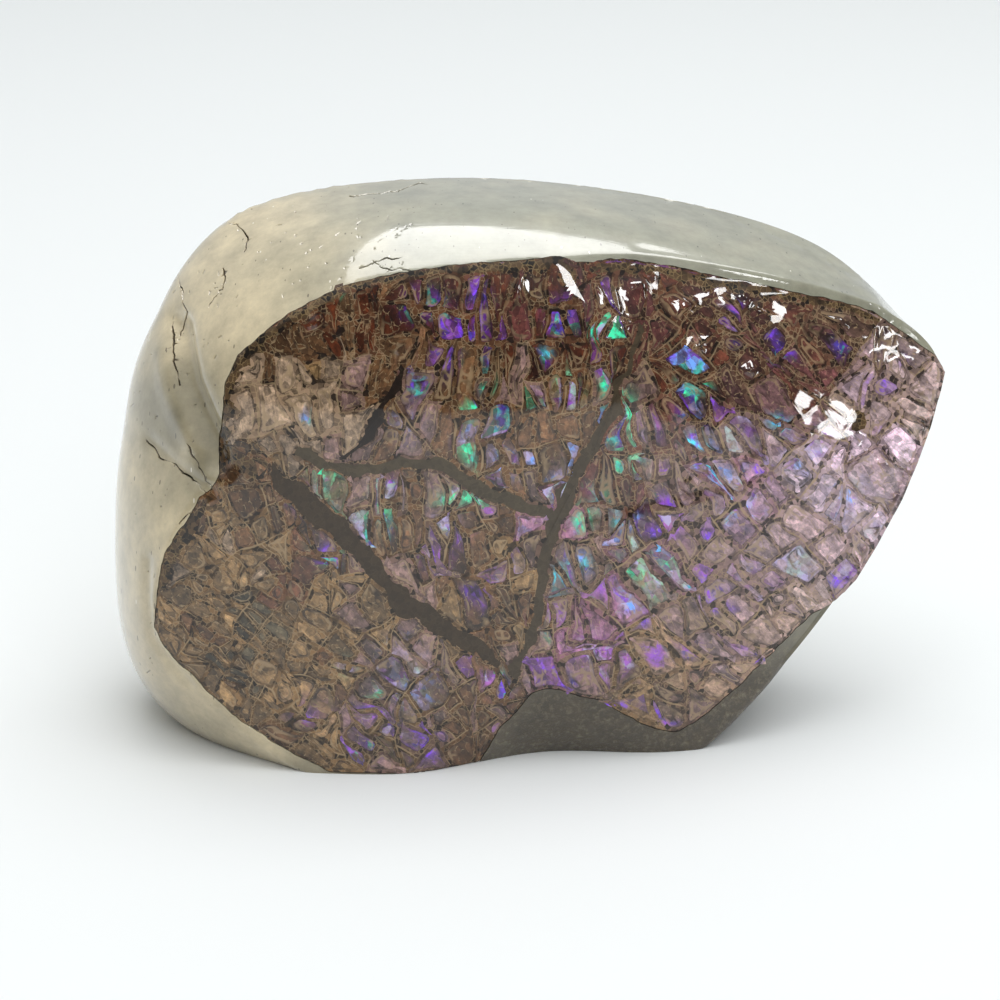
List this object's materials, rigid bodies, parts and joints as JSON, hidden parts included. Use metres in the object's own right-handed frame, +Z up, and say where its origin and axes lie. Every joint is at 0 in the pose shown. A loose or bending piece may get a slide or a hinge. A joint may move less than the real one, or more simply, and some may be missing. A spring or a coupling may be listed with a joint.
{
  "type": "ammolite specimen",
  "caption": "Free-standing polished block of ironstone with an iridescent fossil shell sheet let into its domed front face, on a flat cut base.",
  "frame": {"origin": "middle of the bounding box in x and y, on the flat cut base", "axes": "+X to the viewer's right along the width of the face, +Y from the shell face towards the back, +Z up"},
  "size_m": [0.114, 0.0432, 0.072],
  "materials": {
    "ironstone": "polished",
    "shell": "polished under a clear coat"
  },
  "bodies": {
    "root": {"ironstone_matrix": "ironstone", "shell_sheet": "shell"}
  },
  "joints": []
}
